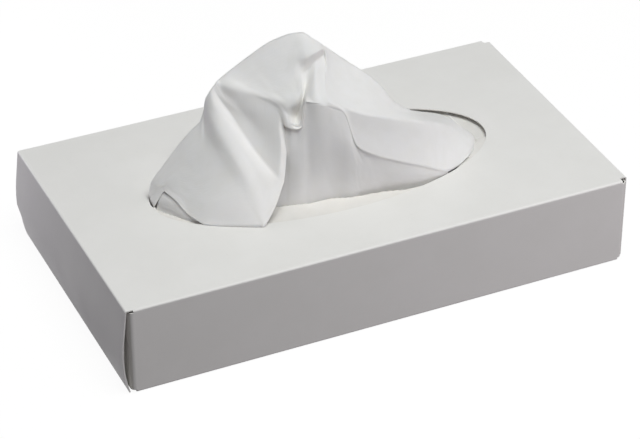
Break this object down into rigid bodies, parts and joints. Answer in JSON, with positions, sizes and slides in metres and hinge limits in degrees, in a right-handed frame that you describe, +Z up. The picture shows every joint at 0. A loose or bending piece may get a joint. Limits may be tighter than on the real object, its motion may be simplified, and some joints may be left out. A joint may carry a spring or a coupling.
{
  "type": "tissue box",
  "caption": "Flat white folding carton of interfolded facial tissues, with an oval opening in its top panel and the top sheet drawn up through it.",
  "frame": {"origin": "middle of the carton's underside, sprung end flap included", "axes": "+X along the carton's length, the long front panel faces -Y, +Z up"},
  "size_m": [0.2129, 0.12, 0.0936],
  "materials": {
    "board": "white coated board, matt",
    "stack": "white tissue, matt",
    "tissue": "white tissue, matt and slightly translucent"
  },
  "bodies": {
    "root": {"carton": "board", "tissue_stack": "stack", "popup_tissue": "tissue"}
  },
  "joints": []
}
